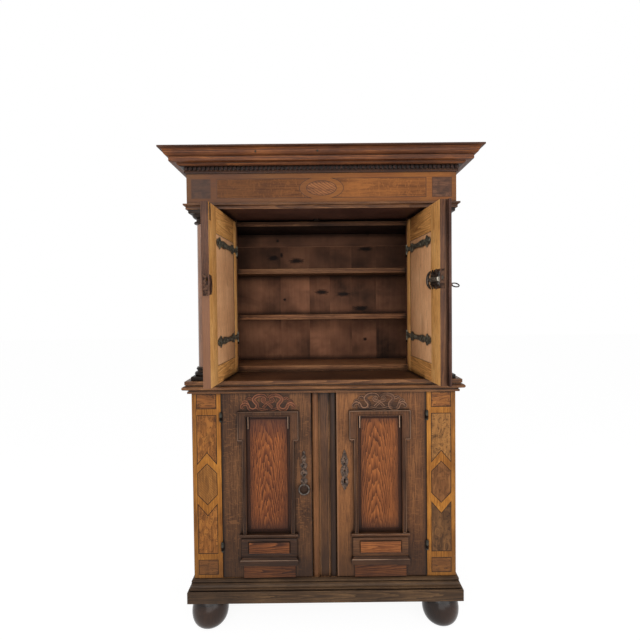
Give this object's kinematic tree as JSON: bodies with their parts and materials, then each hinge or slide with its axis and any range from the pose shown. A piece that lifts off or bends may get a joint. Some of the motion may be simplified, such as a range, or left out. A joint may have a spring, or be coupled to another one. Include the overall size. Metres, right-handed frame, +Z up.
{
  "type": "two-stage cupboard",
  "caption": "Two-stage oak cupboard on bun feet: doored lower case, set-back doored upper case between columns, marquetry pilasters and frieze, dentil cornice.",
  "frame": {"origin": "on the floor, under the middle of the whole with its upper doors open as pictured", "axes": "+X to the right along the front, +Y from front to back, +Z up"},
  "size_m": [1.282, 0.6504, 1.994],
  "materials": {
    "oak_dark": "dark waxed oak",
    "oak_mid": "mid-brown waxed oak",
    "pine_dark": "dark stained pine",
    "oak_tan": "unpolished tan oak",
    "figured_oak": "reddish figured oak, waxed",
    "banding": "light yellow veneer, waxed",
    "burl": "burl veneer, waxed",
    "ebonised": "ebonised wood",
    "column_wood": "polished walnut",
    "wrought_iron": "dark wrought iron"
  },
  "bodies": {
    "cabinet": {"base_frame": "oak_dark", "base_moulding": "oak_dark", "bun_feet": "ebonised", "case_ironwork": "wrought_iron", "centre_post": "oak_dark", "cleats_and_stops": "pine_dark", "column_bases": "ebonised", "column_capitals": "ebonised", "column_shafts": "column_wood", "cornice": "oak_mid", "cornice_lid": "oak_mid", "dentils": "ebonised", "frieze_boards": "oak_mid", "frieze_moulding": "ebonised", "ledge_board": "oak_dark", "left_pilaster": "oak_dark", "lower_back_boards": "pine_dark", "lower_bottom": "oak_dark", "lower_left_side": "oak_dark", "lower_right_side": "oak_dark", "lower_shelf": "pine_dark", "lower_top": "oak_dark", "marquetry_banding": "banding", "marquetry_burl": "burl", "right_pilaster": "oak_dark", "soffit_board": "oak_mid", "upper_back_boards": "pine_dark", "upper_bottom": "oak_mid", "upper_left_side": "oak_mid", "upper_left_stile": "oak_mid", "upper_right_side": "oak_mid", "upper_right_stile": "oak_mid", "upper_shelves": "pine_dark", "upper_top": "oak_mid", "waist_moulding": "oak_dark"},
    "upper_left_door": {"upper_left_door_frame": "oak_tan", "upper_left_door_panel": "oak_tan", "upper_left_straps": "wrought_iron", "upper_left_strike": "wrought_iron"},
    "top_bolt": {"upper_left_bolt": "wrought_iron"},
    "upper_right_door": {"upper_right_door_frame": "oak_tan", "upper_right_door_panel": "oak_tan", "upper_right_straps": "wrought_iron", "upper_right_cover_strip": "oak_mid", "upper_lock_case": "wrought_iron"},
    "upper_bolt": {"upper_lock_bolt": "wrought_iron"},
    "key": {"upper_key": "wrought_iron"},
    "lower_left_door": {"lower_left_door_frame": "oak_dark", "lower_left_door_panel": "figured_oak", "lower_left_ornament": "oak_dark", "lower_left_hinges": "wrought_iron", "pull_plate": "wrought_iron"},
    "ring": {"pull_ring": "wrought_iron"},
    "lower_right_door": {"lower_right_door_frame": "oak_dark", "lower_right_door_panel": "figured_oak", "lower_right_ornament": "oak_dark", "lower_right_hinges": "wrought_iron", "keyhole_plate": "wrought_iron", "lower_lock_case": "wrought_iron"},
    "lower_bolt": {"lower_lock_bolt": "wrought_iron"}
  },
  "joints": [
    {"name": "upper_left_door_hinge", "type": "hinge", "parent": "cabinet", "child": "upper_left_door", "pos_m": [-0.397, 0.0792, 1.4], "axis": [0, 0, 1], "range_deg": [-2, 93.27]},
    {"name": "upper_right_door_hinge", "type": "hinge", "parent": "cabinet", "child": "upper_right_door", "pos_m": [0.397, 0.0792, 1.4], "axis": [0, 0, -1], "range_deg": [-0.8, 95.42]},
    {"name": "lower_left_door_hinge", "type": "hinge", "parent": "cabinet", "child": "lower_left_door", "pos_m": [-0.42875, -0.14081, 0.62], "axis": [0, 0, -1], "range_deg": [0, 110]},
    {"name": "lower_right_door_hinge", "type": "hinge", "parent": "cabinet", "child": "lower_right_door", "pos_m": [0.42875, -0.14081, 0.62], "axis": [0, 0, 1], "range_deg": [0, 110]},
    {"name": "top_bolt_slide", "type": "slide", "parent": "upper_left_door", "child": "top_bolt", "axis": [0, 0, 1], "range_m": [0, 0.009]},
    {"name": "key_turn", "type": "hinge", "parent": "upper_right_door", "child": "key", "pos_m": [0.431, -0.27919, 1.437], "axis": [0.9955, 0.0945, 0], "range_deg": [0, 180]},
    {"name": "upper_bolt_slide", "type": "slide", "parent": "upper_right_door", "child": "upper_bolt", "axis": [0.0945, -0.9955, 0], "range_m": [0, 0.012]},
    {"name": "ring_swing", "type": "hinge", "parent": "lower_left_door", "child": "ring", "pos_m": [-0.085, -0.1448, 0.6186], "axis": [-1, 0, 0], "range_deg": [0, 75]},
    {"name": "lower_bolt_slide", "type": "slide", "parent": "lower_right_door", "child": "lower_bolt", "axis": [-1, 0, 0], "range_m": [0, 0.012]}
  ],
  "couplings": [
    {"joint": "upper_bolt_slide", "follows": "key_turn", "m_per_rad": 0.0038197}
  ]
}
